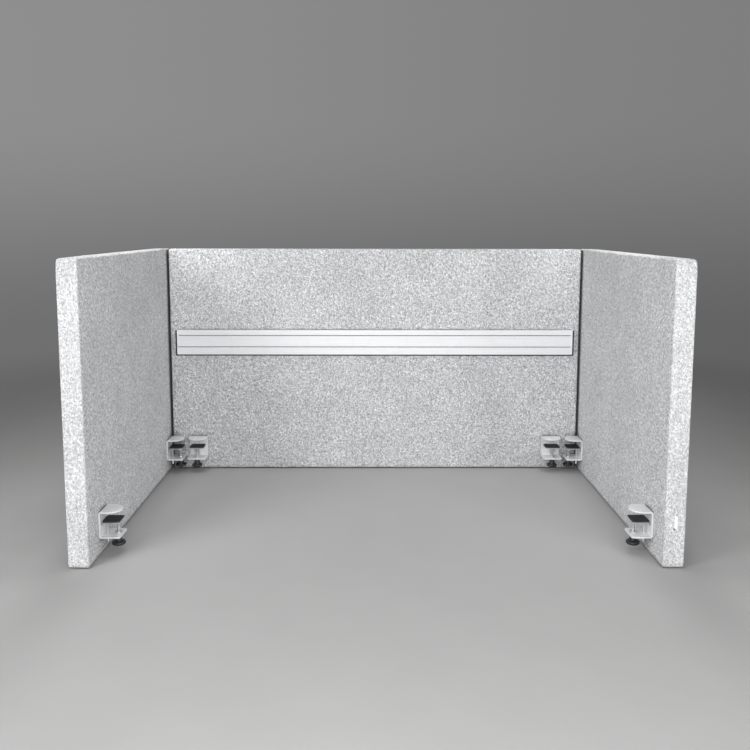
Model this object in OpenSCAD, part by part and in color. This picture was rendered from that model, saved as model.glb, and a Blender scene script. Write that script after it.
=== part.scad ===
// Acoustic divider screen: a back screen and two side wings in grey felt round three sides of a
// board, each held to the board's edge by two screw clamps, with an aluminium tool rail inside.
// Millimetres. +X runs along the back screen, the open side faces -Y, and +Z is up. The origin is
// under the middle of the set, on the plane that the screens' lower edges stand on.

/* [Board between the jaws] */
// Width of the board that the screens stand round
board_w = 1400; // [1200:20:1800]
// Depth of that board, front to back
board_d = 800; // [700:10:1000]
// Thickness of the board that the clamps are closed on
board_t = 22; // [19:0.5:30]
// Gap between a screen's inner face and the board's edge
board_gap = 5; // [4.5:0.5:8]

/* [Screens] */
// Thickness of a screen over its felt
screen_t = 52; // [44:1:60]
// Height of the screens above the board's top face
rise_h = 650; // [520:10:800]
// How far the screens hang below the board's top face
drop_h = 110; // [100:1:150]
// Gap between a wing and the end of the back screen
corner_gap = 7; // [3:0.5:10]
// How far the wings stand out in front of the board
wing_overhang = 10; // [0:5:60]
// Radius of the upper corners, seen square to a screen's face
corner_r = 10; // [6:1:30]
// Radius of the felt along the long edges
edge_r = 4; // [3:0.5:8]

/* [Felt cover] */
// Thickness of the felt
felt_t = 2.5; // [1.5:0.25:3]
// Width of the felt that is turned in under the frame
lip_w = 12; // [8:1:16]
// Diameter of the holes in the felt for the screws
felt_hole_d = 7.5; // [6.5:0.5:10]

/* [Timber frame] */
// Width of the stiles and rails, seen square to a screen's face
timber_w = 30; // [24:1:40]
// Height of the batten behind the tool rail
batten_h = 60; // [40:2:90]
// Width of a clamp's mounting block
block_w = 84; // [70:2:96]
// How far a mounting block reaches above the board's top face
block_rise = 20; // [8:1:40]

/* [Clamp brackets] */
// Width of a bracket
jaw_w = 62; // [50:1:70]
// Reach of its jaws from the screen's face
jaw_reach = 53; // [50:1:64]
// Thickness of its steel sheet
sheet_t = 4; // [3:0.25:4.25]
// Outer radius of its bends
bend_r = 5.5; // [4.75:0.25:8]
// From the board's top face down to the lower arm
jaw_open = 60.5; // [56:0.5:70]
// Radius of the lower arm's free corners
arm_corner_r = 6; // [3:1:12]
// Thickness of the pad under the upper jaw
top_pad_t = 1; // [0.8:0.1:2]
// From the board's front edge back to the middle of the front clamps
front_clamp_in = 96.5; // [70:0.5:200]
// Gap between the rear clamps of the wings and the back screen
rear_clamp_gap = 2.5; // [1:0.5:20]
// From the board's side edge in to the middle of the back screen's clamps
back_clamp_in = 92; // [90:1:300]

/* [Bracket screws] */
// Diameter of the screws that hold a bracket
screw_d = 6; // [5:0.5:6]
// Diameter of their countersunk heads
screw_head_d = 11.5; // [10:0.5:13]
// Depth of the screws in the threaded inserts
screw_in = 11; // [8:1:14]
// Distance between a bracket's two screws
screw_span = 36; // [26:1:42]
// Diameter of a threaded insert
insert_d = 9; // [8:0.5:11]
// Length of a threaded insert
insert_l = 13; // [9:1:18]

/* [Clamp screws] */
// Diameter of the clamp stud
stud_d = 8; // [6:1:10]
// From the screen's face to the stud's axis
stud_reach = 40; // [38:0.5:42]
// Diameter of the threaded bush in the lower arm
bush_d = 12; // [11.5:0.5:14]
// Diameter of the bush's flange
bush_flange_d = 18; // [16:1:20]
// Height of the bush's flange
bush_flange_h = 5; // [3:0.5:6]
// From the screen's face to the guide pin's axis
pin_reach = 12.5; // [12:0.5:16]
// Diameter of the guide pin
pin_d = 6; // [4:0.5:7]
// Length of the guide pin below the lower arm
pin_below = 20; // [12:1:22]
// Diameter of the guide pin's head and collar
pin_head_d = 9; // [8:0.5:10]
// Height of the guide pin's head
pin_head_h = 2.5; // [1.5:0.5:4]
// Thickness of the pressure plate
plate_t = 3; // [2:0.5:4]
// Width of the pressure plate
plate_w = 48; // [40:1:56]
// Gap between the pressure plate and the bracket's web
plate_gap = 2; // [1:0.5:3]
// How far the pressure plate stays back from the jaw's tip
plate_back = 3; // [1:0.5:4]
// Radius of the pressure plate's corners
plate_r = 6; // [3:1:12]
// Thickness of the rubber pad on the pressure plate
grip_pad_t = 3; // [1.5:0.5:4]
// Diameter of the socket under the pressure plate
socket_d = 16; // [14:1:20]
// Depth of that socket
socket_h = 8; // [5:0.5:9]

/* [Knobs] */
// Diameter of a knob
knob_d = 35; // [30:1:40]
// Height of a knob's head
knob_h = 10; // [8:0.5:12]
// Diameter of its neck
neck_d = 17; // [14:1:20]
// Height of its neck
neck_h = 14; // [8:1:16]
// Gap left between the neck and the lower arm
neck_gap = 2.5; // [1:0.5:6]
// Number of finger grooves round it
grooves = 8; // [6:1:12]
// Diameter of a finger groove
groove_d = 9; // [6:1:12]
// Depth of a finger groove
groove_depth = 1.2; // [0.6:0.2:2]

/* [Tool rail] */
// From the back screen's ends in to the rail's end caps
rail_in = 25.5; // [15:0.5:200]
// Height of the rail
rail_h = 83; // [78:1:90]
// How far the rail stands out from the screen
rail_depth = 14; // [13:0.5:20]
// From the board's top face up to the rail
rail_rise = 292; // [150:2:380]
// Thickness of the rail's face and edges
rail_wall = 1.8; // [1.4:0.1:2.2]
// Width of the slots' mouths
slot_mouth = 3; // [2:0.25:4]
// Height of the chamber behind a slot
slot_h = 8; // [6:0.5:9]
// Depth of that chamber
slot_depth = 5; // [4:0.25:5.5]
// Thickness of the ribs behind the face
rib_t = 1.5; // [1.2:0.1:1.6]
// From the rail's top edge down to the upper slot
upper_slot_down = 17.7; // [16:0.1:18]
// From the rail's bottom edge up to the lower slot
lower_slot_up = 26.2; // [16:0.1:28]
// Height of the raised lip under each slot
slot_lip_h = 4; // [2:0.5:6]
// How far that lip stands out of the face
slot_lip_t = 0.6; // [0.3:0.1:1]
// Gap between the rail's edges and the felt
rail_gap = 3; // [2.8:0.1:4]
// Thickness of an end cap
cap_t = 5; // [3:0.5:10]
// Length of an end cap's fingers
cap_finger_l = 10; // [6:1:20]

/* [Backing of the rail] */
// Thickness of the backing
back_t = 1.5; // [1:0.1:1.6]
// How far the backing shows beyond each end of the rail
back_out = 8; // [0:0.5:10]
// How far the backing shows below the rail
back_below = 6; // [0:0.5:8]
// Height of the hooks that carry the rail
hook_h = 7; // [5:0.5:8]
// Number of screws along the backing
rail_screws_n = 6; // [3:1:8]
// From the rail's ends in to the outer screws
rail_screw_in = 60; // [40:5:120]
// Diameter of those screws
rail_screw_d = 4.5; // [3.5:0.5:5]
// Diameter of their heads
rail_screw_head_d = 9; // [7:0.5:10]
// Height of their heads
rail_screw_head_h = 2.5; // [1.5:0.5:3]
// Length of those screws behind the backing
rail_screw_l = 32; // [20:1:36]

/* [Sewn tag] */
// Width of the blank tag
tag_w = 8; // [6:0.5:20]
// Height of the tag
tag_h = 35; // [16:1:60]
// Thickness of the tag
tag_t = 0.8; // [0.4:0.1:1.2]
// From the wing's inner face to the middle of the tag
tag_in = 27.5; // [15:0.5:32]
// Height of the tag's lower edge below the board's top face
tag_below = 8.5; // [0:0.5:40]

/* [Hidden] */
$fn = 48;

// Overrun of every cut past the face it cuts
over = 1;
// Gap round a piece that is pressed or screwed into a round hole
press_gap = 0.05;
// Gap round a shaft that runs in its hole
run_gap = 0.05;
// Glue line between two pieces of timber, and between timber and felt
glue_gap = 0.2;
// Gap round the soft core, the turned-in lips and the end caps' fingers
soft_gap = 0.3;
// Gap between the rail's hooks and the backing's hooks
hook_gap = 0.3;
// Smallest radius that a rounded edge is left with
least_r = 0.4;

// The board's edges and the screens' faces
inner_x = board_w / 2 + board_gap;
total_d = tag_t + wing_overhang + board_d + board_gap + screen_t;
front_y = tag_t - total_d / 2;
board_front_y = front_y + wing_overhang;
back_face_y = board_front_y + board_d + board_gap;
wing_l = back_face_y + screen_t - front_y;
wing_mid_y = front_y + wing_l / 2;
back_l = 2 * (inner_x - corner_gap);
screen_h = rise_h + drop_h;

// The frame inside the felt
frame_in = felt_t + glue_gap;
frame_t = screen_t - 2 * frame_in;
bay_z = frame_in + timber_w;
bay_h = screen_h - 2 * bay_z;
rail_l = back_l - 2 * rail_in;
rail_z = drop_h + rail_rise;
batten_z = rail_z + (rail_h - batten_h) / 2;

// The clamps: name, place of the screen's face at the middle of the bracket, and turn
front_clamp_y = board_front_y + front_clamp_in;
rear_clamp_y = back_face_y - rear_clamp_gap - jaw_w / 2;
back_clamp_x = board_w / 2 - back_clamp_in;
CLAMPS = [
    ["left_front", [-inner_x, front_clamp_y], 0],
    ["left_rear", [-inner_x, rear_clamp_y], 0],
    ["back_left", [-back_clamp_x, back_face_y], -90],
    ["back_right", [back_clamp_x, back_face_y], -90],
    ["right_front", [inner_x, front_clamp_y], 180],
    ["right_rear", [inner_x, rear_clamp_y], 180]
];

// Places of each screen's clamps along that screen
LEFT_AT = [front_clamp_y - wing_mid_y, rear_clamp_y - wing_mid_y];
RIGHT_AT = [-LEFT_AT[0], -LEFT_AT[1]];
BACK_AT = [-back_clamp_x, back_clamp_x];

// Heights in a clamp, counted from the board's top face
arm_low = -(jaw_open + sheet_t);
jaw_top = top_pad_t + sheet_t;
screw_z = -(jaw_open / 2);
plate_top = -board_t - grip_pad_t;
plate_low = plate_top - plate_t;
socket_low = plate_low - socket_h;
neck_top = arm_low - neck_gap;
knob_top = neck_top - neck_h;
knob_low = knob_top - knob_h;
stud_low = knob_low + knob_h / 3;
pin_low = arm_low - pin_below;
plate_l = jaw_reach - plate_back - sheet_t - plate_gap;
csk_h = (screw_head_d - screw_d) / 2;

// The rail's section: heights from its lower edge, and depths from the felt
lower_slot_z = lower_slot_up;
upper_slot_z = rail_h - upper_slot_down;
chamber_h = slot_h + 2 * rib_t;
chamber_back = rail_depth - rail_wall - slot_depth - rib_t;
face_back = rail_depth - rail_wall;
profile_l = rail_l - 2 * cap_t;
hook_front = rail_gap + rib_t;
lip_front = hook_front + hook_gap + rib_t;
upper_hook_z = upper_slot_z + chamber_h / 2 + hook_gap;
lower_web_z = lower_slot_z - chamber_h / 2;
lower_hook_z = lower_web_z - hook_gap - hook_h;
rail_screw_z = (lower_slot_z + upper_slot_z) / 2;
screw_pitch = (rail_l - 2 * rail_screw_in) / (rail_screws_n - 1);

// Outline with its two upper corners rounded, standing on y = 0 and centred on x = 0
module round_top(w, h, r) {
    translate([-w / 2, 0]) square([w, h - r]);
    translate([r - w / 2, 0]) square([w - 2 * r, h]);
    for (side = [-1, 1]) translate([side * (w / 2 - r), h - r]) circle(r);
}

// Rectangle with all corners rounded, centred
module round_rect(w, h, r) {
    square([w, h - 2 * r], center = true);
    square([w - 2 * r, h], center = true);
    for (x = [-1, 1], y = [-1, 1]) translate([x * (w / 2 - r), y * (h / 2 - r)]) circle(r);
}

// The form of a screen of length l, taken in by inset on every side. Its inner face is at y = 0.
module screen_form(l, inset) {
    long = l - 2 * inset;
    deep = screen_t - 2 * inset;
    high = screen_h - 2 * inset;
    soft_r = max(edge_r - inset, least_r);
    top_r = max(corner_r - inset, least_r);
    translate([0, screen_t / 2, inset]) intersection() {
        linear_extrude(high) round_rect(long, deep, soft_r);
        rotate([90, 0, 0]) linear_extrude(deep + 2 * over, center = true) round_top(long, high, top_r);
        rotate([90, 0, 90]) linear_extrude(long + 2 * over, center = true) round_top(deep, high, soft_r);
    }
}

// Where the three screens stand
module at_left() { translate([-inner_x, wing_mid_y, 0]) rotate([0, 0, 90]) children(); }
module at_right() { translate([inner_x, wing_mid_y, 0]) rotate([0, 0, -90]) children(); }
module at_back() { translate([0, back_face_y, 0]) children(); }

// A hole or shaft square to a screen's face, from depth a to depth b behind the face
module through_face(d, a, b) {
    translate([0, a, 0]) rotate([-90, 0, 0]) cylinder(d = d, h = b - a);
}

// Places of the bracket screws on a screen, and of the screws along the rail
module at_bracket_screws(places) {
    for (x = places, side = [-1, 1])
        translate([x + side * screw_span / 2, 0, drop_h + screw_z]) children();
}
module at_rail_screws() {
    for (i = [0 : rail_screws_n - 1])
        translate([(i - (rail_screws_n - 1) / 2) * screw_pitch, 0, rail_z + rail_screw_z]) children();
}

// Felt sock round a screen, open below inside its turned-in lip
module felt_cover(l, places, with_rail) {
    color("lightgray") difference() {
        screen_form(l, 0);
        screen_form(l, felt_t);
        translate([0, screen_t / 2, -over]) linear_extrude(felt_t + 2 * over)
            square([l - 2 * lip_w, screen_t - 2 * lip_w], center = true);
        at_bracket_screws(places) through_face(felt_hole_d, -over, felt_t + over);
        if (with_rail) at_rail_screws() through_face(rail_screw_d + 2 * soft_gap, -over, felt_t + over);
    }
}

// Strip that closes the felt below
module bottom_strip(l) {
    color("gray") translate([0, screen_t / 2, 0]) linear_extrude(felt_t)
        square([l - 2 * (lip_w + soft_gap), screen_t - 2 * (lip_w + soft_gap)], center = true);
}

// A bar of timber across the frame, from height z
module cross_rail(l, z, h) {
    translate([-l / 2 + frame_in + timber_w + glue_gap, frame_in, z])
        cube([l - 2 * (frame_in + timber_w + glue_gap), frame_t, h]);
}

// Two stiles and two rails, and a batten where the tool rail is screwed on
module timber_frame(l, with_rail) {
    color("burlywood") {
        intersection() {
            screen_form(l, frame_in);
            for (side = [-1, 1])
                translate([side * (l / 2 - frame_in - timber_w / 2), screen_t / 2, screen_h / 2])
                    cube([timber_w, frame_t, screen_h], center = true);
        }
        cross_rail(l, frame_in, timber_w);
        intersection() {
            screen_form(l, frame_in);
            cross_rail(l, screen_h - bay_z, timber_w);
        }
        if (with_rail) difference() {
            cross_rail(l, batten_z, batten_h);
            at_rail_screws() through_face(rail_screw_d + 2 * press_gap, 0, frame_in + rail_screw_l);
        }
    }
}

// Timber blocks that the brackets are screwed to
module clamp_blocks(places) {
    high = drop_h + block_rise - bay_z - glue_gap;
    color("tan") difference() {
        for (x = places) translate([x - block_w / 2, frame_in, bay_z + glue_gap]) cube([block_w, frame_t, high]);
        at_bracket_screws(places) through_face(insert_d + 2 * press_gap, 0, frame_in + insert_l + over);
    }
}

// One slab of soft core from height a to height b, cut out round the blocks
module core_slab(l, places, a, b) {
    side = frame_in + timber_w + soft_gap;
    color("whitesmoke") difference() {
        translate([-l / 2 + side, frame_in, a + soft_gap]) cube([l - 2 * side, frame_t, b - a - 2 * soft_gap]);
        for (x = places) translate([x - block_w / 2 - soft_gap, 0, 0])
            cube([block_w + 2 * soft_gap, screen_t, drop_h + block_rise + soft_gap]);
    }
}

// Thread insert, sunk in a block with its mouth at the block's face
module threaded_insert() {
    color("goldenrod") difference() {
        through_face(insert_d, frame_in, frame_in + insert_l);
        through_face(screw_d + 2 * press_gap, 0, frame_in + insert_l + over);
    }
}

// Clamp frame: x leads away from the screen's face, z is 0 at the board's top face
module at_clamp(c) { translate([c[1][0], c[1][1], drop_h]) rotate([0, 0, c[2]]) children(); }

// Countersunk screw through the web of a bracket, along -x, with its head flush
module csk_screw() {
    color("silver") translate([sheet_t, 0, 0]) rotate([0, -90, 0]) {
        cylinder(d1 = screw_head_d, d2 = screw_d, h = csk_h);
        cylinder(d = screw_d, h = sheet_t + frame_in + screw_in);
    }
}

// The hole for that screw, larger by the press gap
module csk_hole() {
    translate([sheet_t, 0, 0]) rotate([0, -90, 0]) {
        cylinder(d1 = screw_head_d + 2 * press_gap, d2 = screw_d + 2 * press_gap, h = csk_h);
        cylinder(d = screw_d + 2 * press_gap, h = sheet_t + over);
        translate([0, 0, -over]) cylinder(d = screw_head_d + 2 * press_gap, h = over);
    }
}

// Outline of the upper jaw: straight sides and a half-round end
module jaw_outline(w, reach) {
    translate([0, -w / 2]) square([reach - w / 2, w]);
    translate([reach - w / 2, 0]) circle(d = w);
}

// Outline from x = a with the corners at its far end rounded
module arm_outline(a, reach, w, r) {
    translate([a, -w / 2]) square([reach - r - a, w]);
    translate([a, r - w / 2]) square([reach - a, w - 2 * r]);
    for (side = [-1, 1]) translate([reach - r, side * (w / 2 - r)]) circle(r);
}

// Section of the bent sheet between heights a and b, with its bends at x = 0
module bent_outline(reach, a, b, r) {
    translate([r, a]) square([reach - r, b - a]);
    translate([0, a + r]) square([reach, b - a - 2 * r]);
    for (z = [a + r, b - r]) translate([r, z]) circle(r);
}

// C-shaped bracket: half-round upper jaw, flat web and square lower arm, from one bent sheet
module bracket() {
    color("gainsboro") difference() {
        intersection() {
            rotate([90, 0, 0]) linear_extrude(jaw_w, center = true) difference() {
                bent_outline(jaw_reach, arm_low, jaw_top, bend_r);
                translate([sheet_t, 0])
                    bent_outline(jaw_reach, arm_low + sheet_t, jaw_top - sheet_t, bend_r - sheet_t);
            }
            union() {
                translate([0, 0, screw_z]) linear_extrude(jaw_open) jaw_outline(jaw_w, jaw_reach);
                translate([0, 0, screw_z - jaw_open]) linear_extrude(jaw_open)
                    arm_outline(0, jaw_reach, jaw_w, arm_corner_r);
            }
        }
        for (side = [-1, 1]) translate([0, side * screw_span / 2, screw_z]) csk_hole();
        translate([stud_reach, 0, arm_low - over]) cylinder(d = bush_d + 2 * press_gap, h = sheet_t + 2 * over);
        translate([pin_reach, 0, arm_low - over]) cylinder(d = pin_d + 2 * run_gap, h = sheet_t + 2 * over);
    }
}

// Thin pad stuck under the upper jaw
module top_pad() {
    inset = plate_gap;
    color("dimgray") linear_extrude(top_pad_t) intersection() {
        jaw_outline(jaw_w - 2 * inset, jaw_reach - inset);
        translate([bend_r + inset, -jaw_w / 2]) square([jaw_reach, jaw_w]);
    }
}

// Threaded bush pressed into the lower arm, its flange inside the jaw
module threaded_bush() {
    color("silver") difference() {
        translate([stud_reach, 0, arm_low]) {
            cylinder(d = bush_d, h = sheet_t);
            translate([0, 0, sheet_t]) cylinder(d = bush_flange_d, h = bush_flange_h);
        }
        translate([stud_reach, 0, arm_low - over])
            cylinder(d = stud_d + 2 * run_gap, h = sheet_t + bush_flange_h + 2 * over);
    }
}

// Outline shared by the pressure plate and its rubber pad
module plate_outline() {
    translate([sheet_t + plate_gap + plate_l / 2, 0]) round_rect(plate_l, plate_w, plate_r);
}

// Steel pressure plate with a socket for the stud and a hole for the guide pin
module pressure_plate() {
    color("silver") difference() {
        union() {
            translate([0, 0, plate_low]) linear_extrude(plate_t) plate_outline();
            translate([stud_reach, 0, socket_low]) cylinder(d = socket_d, h = socket_h);
        }
        translate([stud_reach, 0, socket_low - over]) cylinder(d = stud_d + 2 * run_gap, h = socket_h + over);
        translate([pin_reach, 0, plate_low - over]) cylinder(d = pin_d + 2 * press_gap, h = plate_t + 2 * over);
    }
}

// Rubber pad on the pressure plate
module pressure_pad() {
    color("black") translate([0, 0, plate_top]) linear_extrude(grip_pad_t) plate_outline();
}

// Guide pin riveted into the plate: it slides through the lower arm and keeps the plate square
module guide_pin() {
    color("silver") translate([pin_reach, 0, 0]) {
        translate([0, 0, pin_low]) cylinder(d = pin_d, h = plate_top - pin_low);
        translate([0, 0, plate_low - pin_head_h / 2]) cylinder(d = pin_head_d, h = pin_head_h / 2);
        translate([0, 0, pin_low]) cylinder(d1 = pin_d, d2 = pin_head_d, h = pin_head_h / 2);
        translate([0, 0, pin_low + pin_head_h / 2]) cylinder(d = pin_head_d, h = pin_head_h / 2);
    }
}

// Clamp stud from the plate's socket down into the knob
module stud() {
    color("silver") translate([stud_reach, 0, stud_low])
        cylinder(d = stud_d, h = plate_low - run_gap - stud_low);
}

// Section of a knob: full round rim, flat middle and a neck
module knob_section() {
    rim = knob_h / 2;
    translate([0, knob_low]) square([knob_d / 2 - rim, knob_h]);
    translate([knob_d / 2 - rim, knob_low + rim]) circle(rim);
    translate([0, knob_top - rim]) square([neck_d / 2, neck_h + rim]);
}

// Fluted plastic knob moulded round the stud
module knob() {
    away = (knob_d + groove_d) / 2 - groove_depth;
    color("black") translate([stud_reach, 0, 0]) difference() {
        rotate_extrude() knob_section();
        for (i = [0 : grooves - 1]) rotate([0, 0, i * 360 / grooves])
            translate([away, 0, knob_low - over]) cylinder(d = groove_d, h = knob_h + 2 * over);
        translate([0, 0, stud_low - press_gap]) cylinder(d = stud_d + 2 * press_gap, h = neck_top - stud_low + over);
    }
}

// Rail frame: the section's x is the depth in front of the felt, its y the height on the rail
module along_rail(l) {
    translate([0, back_face_y, rail_z]) rotate([90, 0, -90]) linear_extrude(l, center = true) children();
}

// Chamber behind a slot at height z, and the space inside it
module chamber(z) {
    translate([chamber_back, z - chamber_h / 2]) square([rail_depth - chamber_back, chamber_h]);
}
module chamber_space(z) {
    translate([chamber_back + rib_t, z - slot_h / 2]) square([slot_depth, slot_h]);
    translate([chamber_back + rib_t, z - slot_mouth / 2]) square([rail_depth, slot_mouth]);
}

// Raised lip under a slot
module slot_lip(z) {
    translate([face_back, z - slot_mouth / 2 - slot_lip_h]) square([rail_wall + slot_lip_t, slot_lip_h]);
}

// Aluminium profile: a face with two slots, open at the back, hung on the backing by two hooks
module tool_rail() {
    color("silver") along_rail(profile_l) difference() {
        union() {
            translate([face_back, 0]) square([rail_wall, rail_h]);
            translate([rail_gap, 0]) square([rail_depth - rail_gap, rail_wall]);
            translate([rail_gap, rail_h - rail_wall]) square([rail_depth - rail_gap, rail_wall]);
            translate([rail_gap, upper_hook_z + rib_t + hook_gap])
                square([rib_t, rail_h - upper_hook_z - rib_t - hook_gap]);
            translate([rail_gap, lower_web_z]) square([rail_depth - rail_gap, rib_t]);
            translate([rail_gap, lower_hook_z + rib_t + hook_gap]) square([rib_t, hook_h]);
            for (z = [lower_slot_z, upper_slot_z]) {
                chamber(z);
                slot_lip(z);
            }
        }
        for (z = [lower_slot_z, upper_slot_z]) chamber_space(z);
    }
}

// Hook on the backing, open upwards, that a hook of the rail drops into
module backing_hook(z, high) {
    translate([0, z]) square([lip_front, rib_t]);
    translate([lip_front - rib_t, z]) square([rib_t, high]);
}

// Black steel backing screwed through the felt to the batten
module rail_backing() {
    color("black") difference() {
        union() {
            along_rail(rail_l + 2 * back_out)
                translate([0, -back_below]) square([back_t, rail_h - rail_wall + back_below]);
            along_rail(profile_l - 2 * hook_gap) {
                backing_hook(lower_hook_z, hook_h);
                backing_hook(upper_hook_z, rail_h - rail_wall - hook_gap - upper_hook_z);
            }
        }
        at_back() at_rail_screws() through_face(rail_screw_d + 2 * press_gap, -rail_depth, over);
    }
}

// Pan head screw through the backing, along +y
module rail_screw() {
    color("dimgray") {
        through_face(rail_screw_head_d, -back_t - rail_screw_head_h, -back_t);
        through_face(rail_screw_d, -back_t - rail_screw_head_h / 2, rail_screw_l);
    }
}

// Cap over one end of the rail, with two fingers in each chamber, clear of the slot
module end_cap(side) {
    fit_h = slot_h - 2 * soft_gap;
    fit_d = slot_depth - 2 * soft_gap;
    finger_h = (fit_h - slot_mouth) / 2;
    color("silver") {
        translate([side * (profile_l + cap_t) / 2, 0, 0]) along_rail(cap_t)
            translate([rail_gap, 0]) square([rail_depth - rail_gap, rail_h]);
        translate([side * (profile_l - cap_finger_l) / 2, 0, 0]) along_rail(cap_finger_l)
            for (z = [lower_slot_z, upper_slot_z], up = [-1, 1])
                translate([chamber_back + rib_t + soft_gap, z + up * (fit_h + slot_mouth) / 4 - finger_h / 2])
                    square([fit_d, finger_h]);
    }
}

// The screens
module left_frame() { at_left() timber_frame(wing_l, false); }
module back_frame() { at_back() timber_frame(back_l, true); }
module right_frame() { at_right() timber_frame(wing_l, false); }
module left_clamp_blocks() { at_left() clamp_blocks(LEFT_AT); }
module back_clamp_blocks() { at_back() clamp_blocks(BACK_AT); }
module right_clamp_blocks() { at_right() clamp_blocks(RIGHT_AT); }
module left_core() { at_left() core_slab(wing_l, LEFT_AT, bay_z, bay_z + bay_h); }
module back_core() {
    at_back() core_slab(back_l, BACK_AT, bay_z, batten_z);
    at_back() core_slab(back_l, [], batten_z + batten_h, bay_z + bay_h);
}
module right_core() { at_right() core_slab(wing_l, RIGHT_AT, bay_z, bay_z + bay_h); }
module left_cover() { at_left() felt_cover(wing_l, LEFT_AT, false); }
module back_cover() { at_back() felt_cover(back_l, BACK_AT, true); }
module right_cover() { at_right() felt_cover(wing_l, RIGHT_AT, false); }
module left_bottom_strip() { at_left() bottom_strip(wing_l); }
module back_bottom_strip() { at_back() bottom_strip(back_l); }
module right_bottom_strip() { at_right() bottom_strip(wing_l); }

// Blank tag sewn flat to the front end of the right wing
module sewn_tag() {
    color("white") translate([inner_x + tag_in - tag_w / 2, front_y - tag_t, drop_h - tag_below])
        cube([tag_w, tag_t, tag_h]);
}

// Pieces that repeat on every clamp and stay with the screens
module threaded_inserts() {
    at_left() at_bracket_screws(LEFT_AT) threaded_insert();
    at_back() at_bracket_screws(BACK_AT) threaded_insert();
    at_right() at_bracket_screws(RIGHT_AT) threaded_insert();
}
module bracket_screws() {
    for (c = CLAMPS, side = [-1, 1]) at_clamp(c) translate([0, side * screw_span / 2, screw_z]) csk_screw();
}
module threaded_bushes() { for (c = CLAMPS) at_clamp(c) threaded_bush(); }
module top_pads() { for (c = CLAMPS) at_clamp(c) top_pad(); }
module rail_screws() { at_back() at_rail_screws() rail_screw(); }
module rail_end_caps() { for (side = [-1, 1]) end_cap(side); }

left_frame();
back_frame();
right_frame();
left_clamp_blocks();
back_clamp_blocks();
right_clamp_blocks();
left_core();
back_core();
right_core();
left_cover();
back_cover();
right_cover();
left_bottom_strip();
back_bottom_strip();
right_bottom_strip();
threaded_inserts();
bracket_screws();
rail_backing();
rail_screws();
tool_rail();
rail_end_caps();
sewn_tag();
threaded_bushes();
top_pads();
for (c = CLAMPS) {
    at_clamp(c) bracket();
    at_clamp(c) pressure_plate();
    at_clamp(c) pressure_pad();
    at_clamp(c) guide_pin();
    at_clamp(c) stud();
    at_clamp(c) knob();
}
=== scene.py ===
"""Looks of the acoustic divider screen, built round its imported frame. Metres, in the frame's axes."""

import math

import bpy
import numpy as np
from mathutils import Matrix, Vector, noise


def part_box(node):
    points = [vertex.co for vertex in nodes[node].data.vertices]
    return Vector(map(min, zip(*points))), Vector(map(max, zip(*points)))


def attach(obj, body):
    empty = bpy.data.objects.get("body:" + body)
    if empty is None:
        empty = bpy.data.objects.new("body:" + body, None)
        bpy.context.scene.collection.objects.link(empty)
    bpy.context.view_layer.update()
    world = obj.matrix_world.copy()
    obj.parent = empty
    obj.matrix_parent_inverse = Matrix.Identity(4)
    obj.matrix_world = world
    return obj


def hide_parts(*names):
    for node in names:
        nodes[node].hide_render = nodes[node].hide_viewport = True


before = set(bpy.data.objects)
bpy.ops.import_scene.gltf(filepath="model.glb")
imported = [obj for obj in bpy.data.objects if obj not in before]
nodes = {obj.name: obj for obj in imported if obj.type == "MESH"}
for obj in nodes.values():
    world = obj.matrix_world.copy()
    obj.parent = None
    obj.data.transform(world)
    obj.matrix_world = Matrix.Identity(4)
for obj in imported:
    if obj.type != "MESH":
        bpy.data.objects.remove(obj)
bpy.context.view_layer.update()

MM = 0.001

# Sizes that the CAD gives to the screens
FELT_T = 2.5 * MM  # thickness of the felt
LIP_W = 12 * MM  # width of the felt turned in below
EDGE_R = 4 * MM  # radius of a screen's edges
CORNER_R = 10 * MM  # radius of its upper corners
LOW_CORNER_R = 4 * MM  # radius of its lower corners
SEW_GAP = 0.3 * MM  # between the turned-in lips and the strip
TIMBER_IN = 33.0 * MM  # from a screen's outside to its core, past the timber
BLOCK_W = 84.6 * MM  # width cut out of the core round a clamp's block
BLOCK_TOP = 130.3 * MM  # height of that cut
BATTEN_H = 60 * MM  # height of the batten behind the rail
SOFT_GAP = 0.3 * MM  # round the soft core

# Sizes that the CAD gives to the clamps, with heights from the upper jaw's pad
JAW_TOP = 5 * MM  # the jaw's top face
SCREW_Z = -30.25 * MM  # the bracket screws
SCREW_SPAN = 36 * MM  # between a bracket's two screws
SHEET_T = 4 * MM  # thickness of the bracket's sheet
SCREW_L = 17.7 * MM  # length of a bracket screw
STUD_REACH = 40 * MM  # from the screen's face to the stud
STUD_D = 8 * MM
STUD_PITCH = 1.25 * MM
SOCKET_Z = -36 * MM  # lower end of the plate's socket

# How the felt departs from the CAD's covers
SOFT_REACH = 30 * MM  # of the softer outer upper corners
SOFT_R = 5.5 * MM  # that they add to the edges' radius
HEM_WAVE = 0.9 * MM  # unevenness of the lower edge
HEM_REACH = 14 * MM  # height over which it dies away
END_WAVE = 0.35 * MM  # unevenness of the ends
END_REACH = 20 * MM  # length over which it dies away
SWELL = 0.9 * MM  # about how far the faces stand proud
SWELL_BORDER = 45 * MM  # border over which they rise
PRESS_REACH = 18 * MM  # of the dents round what is screwed on

# Distances of the covers' mesh lines from their edges, and about the step between the rest
FINE = [s * MM for s in (0, 0.7, 1.5, 2.4, 3.2, 4, 5.5, 7.5, 10, 12, 16, 22, 32)]
COARSE = 14 * MM

# The wings' front ends in the frame's axes
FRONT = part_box("right_cover")[0].y

CLAMPS = ["left_front", "left_rear", "back_left", "back_right", "right_front", "right_rear"]
# How far each side's clamps and screen are turned, in degrees
JAW_TURN = {"left": 0, "back": -90, "right": 180}
SCREEN_TURN = {"left": 90, "back": 0, "right": -90}


def smooth(x):
    """Smooth step from 0 at x = 0 to 1 at x = 1."""
    x = np.clip(x, 0, 1)
    return x * x * (3 - 2 * x)


# Materials

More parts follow.
